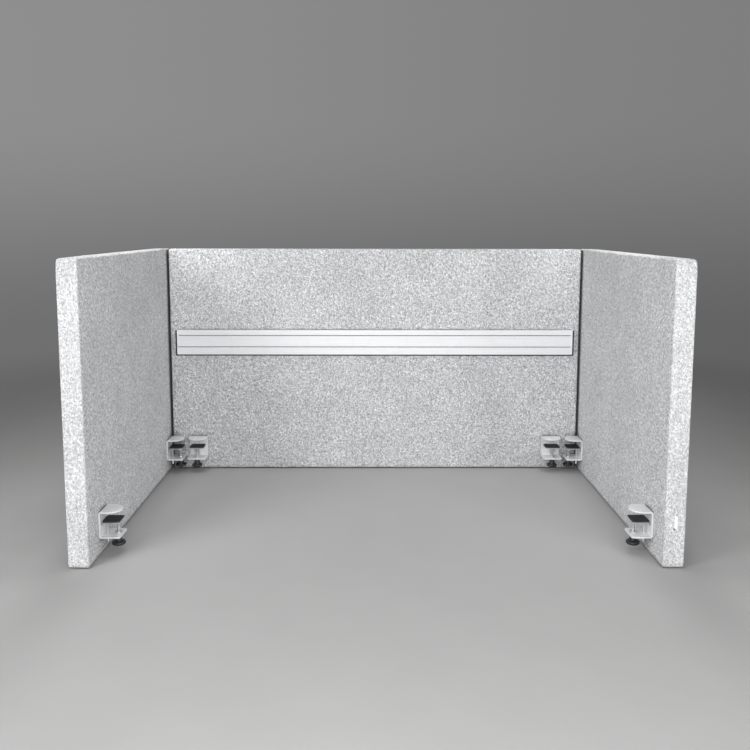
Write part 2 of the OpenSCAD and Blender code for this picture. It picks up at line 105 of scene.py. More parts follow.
# A face is seen along an axis when its normal has more than this share of it
FACING = 0.7
# Moves strands of different turns to other parts of the noise
FIELD_STEP = (31, 17, 9)


def add_node(tree, kind, **inputs):
    """A shader node of that kind. An input given an output is linked to it, and any other is set."""
    made = tree.nodes.new("ShaderNode" + kind)
    for socket, value in inputs.items():
        by_number = socket[0] == "i" and socket[1:].isdigit()
        entry = made.inputs[int(socket[1:]) if by_number else socket]
        if isinstance(value, bpy.types.NodeSocket):
            tree.links.new(value, entry)
        else:
            entry.default_value = value
    return made


class Look:
    """A material with one Principled shader, and short ways to put nodes in front of it."""

    def __init__(self, name, color, **sockets):
        self.material = bpy.data.materials.new(name)
        self.material.use_nodes = True
        self.material.diffuse_color = (*color, 1)
        self.nodes = self.material.node_tree.nodes
        self.links = self.material.node_tree.links
        self.shader = self.nodes["Principled BSDF"]
        self.shader.inputs["Base Color"].default_value = (*color, 1)
        for socket, value in sockets.items():
            self.shader.inputs[socket.replace("_", " ")].default_value = value

    def node(self, kind, **inputs):
        """A node of this material, with its inputs linked or set."""
        return add_node(self.material.node_tree, kind, **inputs)

    def coords(self, scale, turn=(0, 0, 0), place=None):
        """Object coordinates, or those given, turned and then scaled."""
        place = place or self.node("TexCoord").outputs["Object"]
        made = self.node("Mapping", Vector=place, Rotation=turn, Scale=[1 / s for s in scale])
        made.vector_type = "TEXTURE"
        return made.outputs["Vector"]

    def on_face(self):
        """Coordinates in the plane of an upright or level face: along it, then up or across it."""
        apart = self.node("SeparateXYZ", i0=self.node("TexCoord").outputs["Object"])
        facing = self.node("VectorMath", i0=self.node("NewGeometry").outputs["Normal"])
        facing.operation = "ABSOLUTE"
        facing = self.node("SeparateXYZ", i0=facing.outputs[0])
        x, y, z = apart.outputs
        sideways = self.math("GREATER_THAN", facing.outputs[0], FACING)
        level = self.math("GREATER_THAN", facing.outputs[2], FACING)
        along = self.node("Mix", i0=sideways, i2=x, i3=y).outputs[0]
        up = self.node("Mix", i0=level, i2=z, i3=y).outputs[0]
        return self.node("CombineXYZ", i0=along, i1=up).outputs[0]

    def strands(self, face, width, length, turn, detail=1.0):
        """Strands of about that width and length, turned by that angle in the face."""
        vector = self.coords((1 / width, 1 / length, 1), (0, 0, turn), face)
        shift = self.node("VectorMath", i0=vector, i1=[step * turn for step in FIELD_STEP])
        made = self.node("TexNoise", Vector=shift.outputs[0], Scale=1.0, Detail=detail, Roughness=0.6)
        return made.outputs["Fac"]

    def noise(self, scale, detail=2.0, rough=0.5, distortion=0.0, stretch=(1, 1, 1), turn=(0, 0, 0)):
        """Noise of about `scale` features a metre, stretched along the axes where `stretch` is small."""
        vector = self.coords([scale * s for s in stretch], turn)
        made = self.node("TexNoise", Vector=vector, Scale=1.0, Detail=detail, Roughness=rough)
        made.inputs["Distortion"].default_value = distortion
        return made.outputs["Fac"]

    def waves(self, axis, scale, distortion=0.0):
        """Regular bands across an axis."""
        made = self.node("TexWave", Vector=self.coords((1, 1, 1)), Scale=scale, Distortion=distortion)
        made.bands_direction = axis
        return made.outputs["Fac"]

    def math(self, operation, a, b=0.0, c=0.0):
        """Result of a mathematical operation on outputs or numbers."""
        made = self.node("Math", i0=a, i1=b, i2=c)
        made.operation = operation
        return made.outputs[0]

    def span(self, value, low, high, to_low=0.0, to_high=1.0):
        """Value moved from low..high to to_low..to_high, and held there."""
        made = self.node("MapRange", i0=value, i1=low, i2=high, i3=to_low, i4=to_high)
        return made.outputs[0]

    def blend(self, share, a, b, mode="MIX"):
        """Color a, with that share of b over it."""
        made = self.nodes.new("ShaderNodeMix")
        made.data_type = "RGBA"
        made.blend_type = mode
        for socket, value in ((0, share), (6, a), (7, b)):
            if isinstance(value, bpy.types.NodeSocket):
                self.links.new(value, made.inputs[socket])
            else:
                made.inputs[socket].default_value = value
        return made.outputs[2]

    def color(self, output):
        """Gives the shader its color."""
        self.links.new(output, self.shader.inputs["Base Color"])

    def roughness(self, output):
        """Gives the shader its roughness."""
        self.links.new(output, self.shader.inputs["Roughness"])

    def bump(self, height, strength, distance):
        """Gives the shader a relief."""
        made = self.node("Bump", Height=height, Strength=strength, Distance=distance)
        self.links.new(made.outputs["Normal"], self.shader.inputs["Normal"])

    def edge_wear_and_highlight(self, color, wear_and_highlight, radius=0.6 * MM):
        """Color that turns to the given edge color along the edges, as painted highlight and wear."""
        corner = self.node("Bevel", Radius=radius).outputs["Normal"]
        flat = self.node("NewGeometry").outputs["Normal"]
        dot = self.node("VectorMath", i0=corner, i1=flat)
        dot.operation = "DOT_PRODUCT"
        share = self.span(dot.outputs["Value"], 0.995, 0.9, 0.0, 0.8)
        return self.blend(share, color, wear_and_highlight)

    def painted_gap_shade(self, color, distance, deep, low=0.15, high=0.55):
        """Painted shade: color that turns to `deep` in gaps and slots, where the ambient occlusion finds
        little open space.
        """
        hidden = self.node("AmbientOcclusion", Distance=distance)
        hidden.samples = 4
        return self.blend(self.span(hidden.outputs["AO"], low, high), deep, color)


def gray(value, warm=0.0):
    """Gray of that linear value, or one a little warmer."""
    return (value * (1 + warm), value, value * (1 - warm), 1)


def felt_look():
    """Light grey melange felt: clumps of pale and dark fibres, matted in all directions but more upright."""
    look = Look("felt", (0.66, 0.66, 0.66), Roughness=0.92, Sheen_Weight=0.25, Sheen_Roughness=0.5)
    look.shader.inputs["Specular IOR Level"].default_value = 0.15
    face = look.on_face()

    def matted(operation, width, strands, detail=1.0):
        """Fields of strands, each given as (length, turn), put together by that operation."""
        fields = [look.strands(face, width, length, turn, detail) for length, turn in strands]
        whole = fields[0]
        for field in fields[1:]:
            whole = look.math(operation, whole, field)
        return whole

    fibre_l = 8 * MM
    clumps = matted("ADD", 1.8 * MM, ((4.2 * MM, 0.15), (4.4 * MM, -0.4), (4.4 * MM, 0.6)), 2.0)
    pale_fibres = matted("MAXIMUM", 0.8 * MM, [(fibre_l, turn) for turn in (0.1, -0.55, 0.8, 1.5)])
    dark_fibres = matted("MAXIMUM", 0.9 * MM, [(fibre_l, turn) for turn in (0.35, -0.3, -0.9, 1.2)])
    # Fibres fray the clumps' edges. The three fields of clumps add up to about 1.5
    middle, spread = 1.5, 0.22
    fray = look.math("MULTIPLY", look.math("SUBTRACT", pale_fibres, dark_fibres), 1.6)
    frayed = look.math("ADD", clumps, fray)
    base = look.blend(look.span(frayed, middle - spread, middle + spread), gray(0.22), gray(0.96))
    pale = look.span(pale_fibres, 0.6, 0.7)
    dark = look.span(dark_fibres, 0.6, 0.7)
    base = look.blend(look.math("MULTIPLY", pale, 0.6), base, gray(0.97))
    base = look.blend(look.math("MULTIPLY", dark, 0.65), base, gray(0.16))
    knots = look.noise(60, detail=4, rough=0.7, distortion=2.2)
    base = look.blend(look.span(knots, 0.68, 0.76, 0.0, 0.5), base, gray(0.2))
    # The wings' front ends, where the felt is pulled flat round the frame, are more even
    forward = look.node("SeparateXYZ", i0=look.node("TexCoord").outputs["Object"]).outputs[1]
    base = look.blend(look.span(forward, FRONT + 1 * MM, FRONT + 6 * MM, 0.3, 0.0), base, gray(0.6))
    # Broad mottle and drift, very slightly cool
    mottle = look.span(look.strands(face, 5 * MM, 14 * MM, 0.06, 2.0), 0.36, 0.64, 0.9, 1.1)
    drift = look.math("MULTIPLY", mottle, look.span(look.noise(7, detail=2), 0.3, 0.7, 0.93, 1.05))
    green = look.math("MULTIPLY", drift, 1.01)
    blue = look.math("MULTIPLY", drift, 1.03)
    shade = look.node("CombineColor", i0=drift, i1=green, i2=blue).outputs[0]
    base = look.blend(1.0, base, shade, "MULTIPLY")
    # Painted shade: the felt darkens in the gaps, in the corners between the screens and next to what stands
    # out from it
    look.color(look.painted_gap_shade(base, 30 * MM, gray(0.003), 0.26, 0.7))
    nap = look.math("ADD", look.math("MULTIPLY", look.math("ADD", pale, dark), 0.5), clumps)
    look.bump(nap, 0.5, 0.35 * MM)
    return look.material


def strip_look():
    """Dark grey woven strip under the screens."""
    look = Look("strip_weave", (0.42, 0.42, 0.43), Roughness=0.9, Sheen_Weight=0.1)
    weave = look.math("MULTIPLY", look.waves("X", 220.0, 0.6), look.waves("Y", 220.0, 0.6))
    mottle = look.noise(60, detail=3)
    base = look.blend(weave, gray(0.26), gray(0.5))
    look.color(look.blend(look.span(mottle, 0.35, 0.65, 0, 0.4), base, gray(0.36)))
    look.bump(weave, 0.5, 0.5 * MM)
    return look.material


def core_look():
    """White bonded fibre of the core."""
    look = Look("core_fibre", (0.84, 0.84, 0.82), Roughness=0.95, Sheen_Weight=0.3)
    loose = look.noise(320, detail=4, rough=0.7, distortion=2.0, stretch=(1, 1, 0.3))
    look.color(look.blend(look.span(loose, 0.35, 0.7), gray(0.72, 0.01), gray(0.92, 0.01)))
    look.bump(loose, 0.7, 1.5 * MM)
    return look.material


def timber_look():
    """Sawn spruce of the inner frame."""
    look = Look("timber", (0.72, 0.56, 0.38), Roughness=0.7)
    grain = look.noise(30, detail=5, rough=0.6, distortion=1.5, stretch=(1, 3, 0.15))
    rings = look.node("TexWave", Vector=look.coords((1, 1, 0.12)), Scale=26.0, Distortion=5.0, Detail=3.0)
    mixed = look.math("MULTIPLY", rings.outputs["Fac"], grain)
    look.color(look.blend(look.span(mixed, 0.1, 0.6), (0.5, 0.33, 0.18, 1), (0.78, 0.6, 0.4, 1)))
    look.bump(grain, 0.3, 0.4 * MM)
    return look.material


def metal_look(
    name,
    color,
    rough,
    stretch,
    metallic=1.0,
    brush=0.10,
    wear_and_highlight=None,
    grime=0.06,
    edge=0.6 * MM,
    deep=None,
    bands=None,
):
    """Metal with fine lines along the axes where `stretch` is small, and slight smudges.

    Brush and grime are the strengths of the lines and the smudges; the edge color is a painted highlight
    where it is pale, and edge is its width;
    deep is the reach of the painted shade in gaps; and bands stretches broader streaks.
    """
    look = Look(name, color[:3], Metallic=metallic, Roughness=rough)
    lines = look.noise(1.0, detail=3, rough=0.7, stretch=stretch)
    fine = look.noise(3.1, detail=2, rough=0.6, stretch=stretch)
    streak = look.math("ADD", look.math("MULTIPLY", lines, 0.6), look.math("MULTIPLY", fine, 0.4))
    smudge = look.noise(45, detail=3, rough=0.6, distortion=0.6)
    dark = tuple(c * (1 - 2 * brush) for c in color[:3]) + (1,)
    lit = tuple(min(1, c * (1 + brush)) for c in color[:3]) + (1,)
    base = look.blend(look.span(streak, 0.35, 0.65), dark, lit)
    base = look.blend(look.span(smudge, 0.5, 0.75, 0, grime), base, gray(0.35))
    if bands:
        broad = look.noise(1.0, detail=2, rough=0.6, stretch=bands)
        base = look.blend(look.span(broad, 0.4, 0.56, 0.2, 0.0), base, gray(0.4))
    # Pale edges here are a painted highlight
    if wear_and_highlight:
        base = look.edge_wear_and_highlight(base, wear_and_highlight, edge)
    # Painted shade in gaps and slots
    if deep:
        base = look.painted_gap_shade(base, deep, gray(0.03))
    look.color(base)
    brushed = look.span(streak, 0.3, 0.7, rough - 0.07, rough + 0.07)
    look.roughness(look.math("ADD", brushed, look.span(smudge, 0.4, 0.7, 0, 0.08)))
    look.bump(streak, 0.12, 0.15 * MM)
    return look.material


def plastic_look(name, color, rough, grain=1400, wear_and_highlight=None):
    """Moulded plastic or rubber with a fine eroded grain."""
    look = Look(name, color[:3], Roughness=rough)
    fine = look.noise(grain, detail=2)
    cloud = look.noise(70, detail=3)
    light = tuple(min(1, c * 1.18 + 0.004) for c in color[:3]) + (1,)
    dark = tuple(c * 0.88 for c in color[:3]) + (1,)
    base = look.blend(look.span(cloud, 0.3, 0.7), dark, light)
    if wear_and_highlight:
        base = look.edge_wear_and_highlight(base, wear_and_highlight)
    look.color(base)
    look.roughness(look.span(cloud, 0.3, 0.7, rough - 0.05, rough + 0.07))
    look.bump(fine, 0.25, 0.12 * MM)
    return look.material


def ribbon_look():
    """White woven ribbon of the tag."""
    look = Look("ribbon", (0.93, 0.93, 0.92), Roughness=0.75, Sheen_Weight=0.2)
    weave = look.math("MULTIPLY", look.waves("Z", 900.0), look.waves("X", 900.0))
    look.color(look.blend(weave, gray(0.84, 0.005), gray(0.98, 0.004)))
    look.bump(weave, 0.4, 0.1 * MM)
    return look.material


def thread_look():
    """Dark sewing thread of the tag."""
    look = Look("thread", (0.1, 0.1, 0.1), Roughness=0.7, Sheen_Weight=0.2)
    twist = look.noise(2200, detail=1, stretch=(1, 1, 0.4), turn=(0.6, 0, 0.4))
    look.color(look.blend(twist, gray(0.07), gray(0.17)))
    look.bump(twist, 0.5, 0.1 * MM)
    return look.material


STEEL = (0.74, 0.75, 0.77, 1)
PAINT = (0.96, 0.965, 0.975, 1)
ALU = (0.85, 0.857, 0.875, 1)

# Features a metre along each axis. The lines run along the axes where they are few
X_LINES = (14, 1500, 14)
Y_LINES = (1500, 14, 14)
TURNED = (25, 25, 2600)
RAIL_LINES = (3, 900, 900)
X_BANDS = (5, 160, 5)
Y_BANDS = (160, 5, 5)

felt = felt_look()
strip_weave = strip_look()
core_fibre = core_look()
timber = timber_look()
brass = metal_look("brass", (0.78, 0.62, 0.32, 1), 0.3, TURNED)
steel = metal_look("zinc_steel", STEEL, 0.3, TURNED, grime=0.12)
plate_steel_x = metal_look("plate_steel_x", STEEL, 0.34, X_LINES, grime=0.12)
plate_steel_y = metal_look("plate_steel_y", STEEL, 0.34, Y_LINES, grime=0.12)
# The brackets' white edges are a painted highlight
bracket_x, bracket_y = (
    metal_look(name, PAINT, 0.4, lines, metallic=0.1, brush=0.12, wear_and_highlight=gray(1.0), edge=1.2 * MM, bands=bands)
    for name, lines, bands in (("bracket_x", X_LINES, X_BANDS), ("bracket_y", Y_LINES, Y_BANDS))
)
# The rail's white edges are a painted highlight, and its darker slots are painted shade
rail_alu = metal_look(
    "rail_aluminium",
    ALU,
    0.45,
    RAIL_LINES,
    metallic=0.06,
    brush=0.05,
    wear_and_highlight=gray(1.0),
    edge=2.4 * MM,
    deep=9 * MM,
)
cap_plastic = plastic_look("cap_plastic", (0.84, 0.85, 0.87, 1), 0.45)
black_sheet = plastic_look("black_powder", (0.018, 0.018, 0.019, 1), 0.55, grain=2200)
pad_rubber = plastic_look("pad_rubber", (0.15, 0.15, 0.16, 1), 0.8, grain=1800)
grip_rubber = plastic_look("grip_rubber", (0.03, 0.03, 0.03, 1), 0.75, grain=1500)
knob_plastic = plastic_look("knob_plastic", (0.018, 0.018, 0.018, 1), 0.42, wear_and_highlight=gray(0.06))
dark_steel = metal_look("dark_steel", (0.35, 0.35, 0.36, 1), 0.35, TURNED)
ribbon = ribbon_look()
thread = thread_look()


# Meshes


def add_mesh(name, points, faces, material, body, slot, at=None, sharp=None):
    """A piece of the object: a mesh that rides on a body and takes the given material; the slot is not used.
    """
    mesh = bpy.data.meshes.new(name)
    mesh.from_pydata([tuple(p) for p in points], [], faces)
    if at is not None:
        mesh.transform(at)
    mesh.materials.append(material)
    mesh.shade_smooth()
    if sharp:
        mesh.set_sharp_from_angle(angle=math.radians(sharp))
    mesh.update()
    piece = bpy.data.objects.new(name, mesh)
    bpy.context.scene.collection.objects.link(piece)
    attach(piece, body)
    return piece


def join(parts):
    """One (points, faces) from several."""
    points, faces = [], []
    for some_points, some_faces in parts:
        start = len(points)
        points.extend(tuple(p) for p in some_points)
        faces.extend(tuple(start + i for i in face) for face in some_faces)
    return points, faces


def moved(part, matrix):
    """The part's (points, faces) moved by a matrix."""
    points, faces = part
    return [matrix @ Vector(p) for p in points], faces


def modify(piece, kind, **settings):
    """Gives the piece a modifier of that kind."""
    made = piece.modifiers.new(kind.title(), kind)
    for key, value in settings.items():
        setattr(made, key, value)


def bevel(piece, width, angle):
    """Bevels the piece's edges that turn by more than that angle in degrees."""
    limit = math.radians(angle)
    modify(piece, "BEVEL", width=width, segments=2, limit_method="ANGLE", angle_limit=limit)


def graded(size, near, coarse):
    """Places from 0 to size: the steps of `near` from both ends, and even ones in between."""
    near = [s for s in near if s < size / 2 - 0.5 * MM]
    inside = size - 2 * near[-1]
    count = max(1, round(inside / coarse))
    middle = [near[-1] + inside * i / count for i in range(1, count)]
    return near + middle + [size - s for s in reversed(near)]


class Lattice:
    """Points of a box lattice, numbered in the order of their first use."""

    def __init__(self, xs, ys, zs):
        self.axes = (xs, ys, zs)
        self.index = {}
        self.points = []

    def at(self, i, j, k):
        """Number of the point at those places along the axes."""
        if (i, j, k) not in self.index:
            xs, ys, zs = self.axes
            self.index[i, j, k] = len(self.points)
            self.points.append((xs[i], ys[j], zs[k]))
        return self.index[i, j, k]


def lattice_shell(xs, ys, zs, open_below=None):
    """Points and outward quads on the surface of a box lattice.

    open_below(x, y) tells which quads of its underside are left out.
    """
    lattice, faces = Lattice(xs, ys, zs), []
    at = lattice.at

    def quad(a, b, c, d, outward):
        faces.append((a, b, c, d) if outward else (d, c, b, a))

    nx, ny, nz = len(xs) - 1, len(ys) - 1, len(zs) - 1
    for k, top in ((0, False), (nz, True)):
        for i in range(nx):
            for j in range(ny):
                middle = ((xs[i] + xs[i + 1]) / 2, (ys[j] + ys[j + 1]) / 2)
                if top or not (open_below and open_below(*middle)):
                    quad(at(i, j, k), at(i + 1, j, k), at(i + 1, j + 1, k), at(i, j + 1, k), top)
    for j, front in ((0, True), (ny, False)):
        for i in range(nx):
            for k in range(nz):
                quad(at(i, j, k), at(i + 1, j, k), at(i + 1, j, k + 1), at(i, j, k + 1), front)
    for i, right in ((0, False), (nx, True)):
        for j in range(ny):
            for k in range(nz):
                quad(at(i, j, k), at(i, j + 1, k), at(i, j + 1, k + 1), at(i, j, k + 1), right)
    return np.array(lattice.points), faces


def rounded(points, size, top_r, low_r, edge_r):
    """Moves points from the faces of a box to a plate with round corners and edges.

    Its length is centred on x = 0. The corners are those seen square to the plate. edge_r is one
    radius, or one for each point.
    """
    length, thick, high = size
    half = length / 2
    tiny = 1e-9
    x, y, z = points.T
    end, rim, deep = half - np.abs(x), np.minimum(z, high - z), np.minimum(y, thick - y)
    radius = np.where(z > high / 2, top_r, low_r)
    du, dv = np.maximum(radius - end, 0), np.maximum(radius - rim, 0)
    corner = (du > 0) & (dv > 0)
    scale = np.where(corner, np.maximum(du, dv) / np.maximum(np.hypot(du, dv), tiny), 1)
    du, dv = du * scale, dv * scale
    reach = np.maximum(np.hypot(du, dv), tiny)
    end = np.where(corner, radius - du, end)
    rim = np.where(corner, radius - dv, rim)
    inset = np.where(corner, radius - reach, np.minimum(end, rim))
    in_end = np.where(corner, du / reach, end <= rim)
    in_rim = np.where(corner, dv / reach, end > rim)
    a, b = edge_r - inset, edge_r - deep
    near = (a > 0) & (b > 0)
    keep = np.where(near, edge_r / np.maximum(np.hypot(a, b), tiny), 1)
    shift, sink = np.where(near, a * (1 - keep), 0), np.where(near, b * (1 - keep), 0)
    end, rim, deep = end + in_end * shift, rim + in_rim * shift, deep + sink
    return np.stack(
        [
            np.sign(x) * (half - end),
            np.where(y < thick / 2, deep, thick - deep),
            np.where(z < high / 2, rim, high - rim),
        ],
        axis=1,
    )


def noise_at(points, scale, offset):
    """Smooth noise from about -1 to 1 at each point. scale is in features a metre."""
    shift = Vector((offset, 3.7 * offset, -2.1 * offset))
    return np.array([noise.noise(Vector(p) * scale + shift) for p in points])


def screen_frame(side):
    """From a screen's own axes to the frame's, and the screen's length, thickness and height.

    Its own axes are x along it, y from its inner face outwards and z up.
    """
    low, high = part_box(side + "_cover")
    middle = (low + high) / 2
    turn = Matrix.Rotation(math.radians(SCREEN_TURN[side]), 4, "Z")
    start = {"left": (high.x, middle.y), "back": (middle.x, low.y), "right": (low.x, middle.y)}[side]
    spans = high - low
    length, thick = (spans.x, spans.y) if side == "back" else (spans.y, spans.x)
    return Matrix.Translation((*start, low.z)) @ turn, (length, thick, spans.z)


def jaw_frame(clamp):
    """From a clamp's own axes to the frame's.

    Its own axes are x away from the screen's face and z up from under the upper jaw's pad.
    """
    low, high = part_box(clamp + "_bracket")
    middle = (low + high) / 2
    side = clamp.split("_")[0]
    start = {"left": (low.x, middle.y), "back": (middle.x, high.y), "right": (high.x, middle.y)}[side]
    turn = Matrix.Rotation(math.radians(JAW_TURN[side]), 4, "Z")
    return Matrix.Translation((*start, high.z - JAW_TOP)) @ turn


def local_rect(node, into):
    """A node's x and z extents in a screen's own axes."""
    low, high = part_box(node)
    a, b = into @ low, into @ high
    return min(a.x, b.x), max(a.x, b.x), min(a.z, b.z), max(a.z, b.z)


def bracket_rects(side, into):
    """The extents of a screen's brackets in its own axes."""
    return [local_rect(clamp + "_bracket", into) for clamp in CLAMPS if clamp.split("_")[0] == side]


def clearance(points, rects):
    """0 at and inside the rectangles, rising to 1 outside them, seen square to the screen."""
    free = np.ones(len(points))
    for x0, x1, z0, z1 in rects:
        away_x = np.maximum(np.maximum(x0 - points[:, 0], points[:, 0] - x1), 0)
        away_z = np.maximum(np.maximum(z0 - points[:, 2], points[:, 2] - z1), 0)
        free = np.minimum(free, smooth(np.hypot(away_x, away_z) / PRESS_REACH))
    return free


def felt_cover(side, seed):
    """Felt sock: rounded edges, softer outer upper corners and a turned-in lip.

    It is pressed in under what is screwed on.
    """
    place, (length, thick, high) = screen_frame(side)
    xs = [x - length / 2 for x in graded(length, FINE, COARSE)]
    ys = graded(thick, FINE, 5 * MM)
    zs = graded(high, FINE, COARSE)

    def inside_lip(x, y):
        return abs(x) < length / 2 - LIP_W and LIP_W < y < thick - LIP_W

    flat, faces = lattice_shell(xs, ys, zs, inside_lip)
    end, top = length / 2 - np.abs(flat[:, 0]), high - flat[:, 2]
    soft = smooth(1 - end / SOFT_REACH) * smooth(1 - top / SOFT_REACH) * (flat[:, 1] > thick / 2)
    edge = EDGE_R + SOFT_R * soft
    points = rounded(flat, (length, thick, high), CORNER_R, LOW_CORNER_R, edge)
    # Uneven lower edge, and ends and edges that aren't quite straight
    wave = noise_at(points, 11, seed) + 0.5 * noise_at(points, 31, seed + 5)
    points[:, 2] += HEM_WAVE * wave * np.exp(-points[:, 2] / HEM_REACH) * (flat[:, 2] < high / 2)
    at_end = (1 - smooth(end / END_REACH)) * np.sign(points[:, 0])
    points[:, 0] += END_WAVE * noise_at(points, 9, seed + 11) * at_end
    # Faces that stand a little proud between the pressed places
    into = place.inverted()
    rects = bracket_rects(side, into)
    if side == "back":
        rects.append(local_rect("rail_backing", into))
    swell = 0.55 + 0.45 * noise_at(points, 5, seed + 17) + 0.12 * noise_at(points, 24, seed + 23)
    border = smooth(np.minimum(np.minimum(end, top), flat[:, 2]) / SWELL_BORDER)
    on_inner, on_outer = flat[:, 1] < 0.01 * MM, flat[:, 1] > thick - 0.01 * MM
    free = np.where(on_inner, clearance(points, rects), 1)
    points[:, 1] += SWELL * swell * border * free * (on_outer * 1.0 - on_inner)
    cover = add_mesh(side + "_felt_cover", points, faces, felt, "screens", "felt", at=place)
    modify(cover, "SOLIDIFY", thickness=FELT_T, offset=-1, use_even_offset=True)
    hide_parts(side + "_cover")


def bottom_strip(side, seed):
    """Strip that closes the felt below, between the lips."""
    place, (length, thick, _) = screen_frame(side)
    size = (length - 2 * (LIP_W + SEW_GAP), thick - 2 * (LIP_W + SEW_GAP), FELT_T)
    edge_r = 0.5 * MM
    near = [0, 0.3 * MM, 0.7 * MM]
    xs = [x - size[0] / 2 for x in graded(size[0], near + [2 * MM], 12 * MM)]
    ys = graded(size[1], near + [2 * MM], 4 * MM)
    zs = graded(size[2], near, 1 * MM)
    flat, faces = lattice_shell(xs, ys, zs)
    points = rounded(flat, size, edge_r, edge_r, edge_r)
    points[:, 1] += LIP_W + SEW_GAP
    points[:, 2] += 0.25 * MM * noise_at(flat, 13, seed)
    piece = add_mesh(side + "_woven_strip", points, faces, strip_weave, "screens", "strip", at=place)
    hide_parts(side + "_bottom_strip")


# The six sides of a lattice cell: the step to the next cell, and the numbers of the side's corners
CELL_SIDES = {
    (-1, 0, 0): (0, 1, 3, 2),
    (1, 0, 0): (4, 6, 7, 5),
    (0, -1, 0): (0, 4, 5, 1),
    (0, 1, 0): (2, 3, 7, 6),
    (0, 0, -1): (0, 2, 6, 4),
    (0, 0, 1): (1, 5, 7, 3),
}


def slab(xs, ys, zs, keep, seed):
    """Surface of the kept cells of a lattice, with a slightly uneven skin. Returns points and quads."""
    lattice, faces = Lattice(xs, ys, zs), []
    nx, ny, nz = len(xs) - 1, len(ys) - 1, len(zs) - 1

    def kept(i, j, k):
        inside = 0 <= i < nx and 0 <= j < ny and 0 <= k < nz
        return inside and keep((xs[i] + xs[i + 1]) / 2, (zs[k] + zs[k + 1]) / 2)

    for i, j, k in np.ndindex(nx, ny, nz):
        if not kept(i, j, k):
            continue
        corners = [lattice.at(i + a, j + b, k + c) for a in (0, 1) for b in (0, 1) for c in (0, 1)]
        for (a, b, c), around in CELL_SIDES.items():
            if not kept(i + a, j + b, k + c):
                faces.append(tuple(corners[n] for n in around))
    used = sorted({i for face in faces for i in face})
    order = {old: new for new, old in enumerate(used)}
    points = np.array(lattice.points)[used]
    points[:, 1] += 0.3 * MM * noise_at(points, 16, seed)
    return points, [tuple(order[i] for i in face) for face in faces]


def core(side, seed):
    """Soft slabs between the frame's members, cut out round the clamps' blocks."""
    place, (length, thick, high) = screen_frame(side)
    timber_in = TIMBER_IN + 0.5 * MM
    felt_in = FELT_T + 0.8 * MM
    step = 30 * MM
    half, top = length / 2 - timber_in, high - timber_in
    rects = bracket_rects(side, place.inverted())
    blocks = [((x0 + x1 - BLOCK_W) / 2, (x0 + x1 + BLOCK_W) / 2) for x0, x1, _, _ in rects]
    # The batten behind the rail parts the back screen's core in two
    rail_low, rail_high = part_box("tool_rail")
    batten_mid, batten_half = (rail_low.z + rail_high.z) / 2, BATTEN_H / 2 + SOFT_GAP
    batten = (batten_mid - batten_half, batten_mid + batten_half) if side == "back" else ()

    def lines(*cuts):
        """Places from the first cut to the last, with even steps between cuts."""
        cuts = sorted(cuts)
        made = [cuts[0]]
        for a, b in zip(cuts, cuts[1:]):
            count = max(1, round((b - a) / step))
            made += [a + (b - a) * n / count for n in range(1, count + 1)]
        return made

    def keep(x, z):
        in_block = z < BLOCK_TOP and any(a < x < b for a, b in blocks)
        in_batten = batten and batten[0] < z < batten[1]
        return not in_block and not in_batten

    xs = lines(-half, half, *(x for block in blocks for x in block))
    ys = [felt_in, thick / 2, thick - felt_in]
    zs = lines(timber_in, top, BLOCK_TOP, *batten)
    points, faces = slab(xs, ys, zs, keep, seed)
    piece = add_mesh(side + "_soft_core", points, faces, core_fibre, "screens", "core", at=place, sharp=40)
    bevel(piece, 1.2 * MM, 50)
    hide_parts(side + "_core")


def round_point(radius, angle, height):
    """A point at that radius and angle round z."""
    return (radius * math.cos(angle), radius * math.sin(angle), height)


def band(a, b, segments):
    """Quads between the rings of points that start at numbers a and b."""
    following = [(s, (s + 1) % segments) for s in range(segments)]
    return [(a + s, a + t, b + t, b + s) for s, t in following]


def turned(profile, segments=40):
    """Solid of revolution about z from (radius, height) pairs.

    A pair with radius 0 is one point on the axis.
    """
    points, faces, rings = [], [], []
    for radius, height in profile:
        if radius == 0:
            rings.append([len(points)] * segments)
            points.append((0, 0, height))
            continue
        rings.append(list(range(len(points), len(points) + segments)))
        points += [round_point(radius, 2 * math.pi * s / segments, height) for s in range(segments)]
    for lower, upper in zip(rings, rings[1:]):
        for s in range(segments):
            t = (s + 1) % segments
            face = [lower[s], lower[t], upper[t], upper[s]]
            face = [p for n, p in enumerate(face) if p != face[n - 1]]
            if len(face) > 2:
                faces.append(tuple(face))
    return points, faces


def threaded(diameter, pitch, low, high, segments=24, steps=6):
    """Right-hand threaded rod from height low to high, closed and chamfered at both ends."""
    depth = 0.61 * pitch
    count = max(4, round((high - low) / pitch * steps))
    points, faces = [(0, 0, low)], []
    for n in range(count + 1):
        height = low + (high - low) * n / count
        from_end = min(height - low, high - height)
        for s in range(segments):
            turn = (height / pitch - s / segments) % 1.0
            crest = min(1.0, max(0.0, 1.25 * (1 - abs(2 * turn - 1)) - 0.1))
            radius = diameter / 2 - depth * (1 - crest)
            radius = min(radius, diameter / 2 - depth + from_end)
            points.append(round_point(radius, 2 * math.pi * s / segments, height))
    points.append((0, 0, high))
    for n in range(count):
        faces += band(1 + n * segments, 1 + (n + 1) * segments, segments)
    last = 1 + count * segments
    for s in range(segments):
        t = (s + 1) % segments
        faces.append((0, 1 + t, 1 + s))
        faces.append((len(points) - 1, last + s, last + t))
    return points, faces


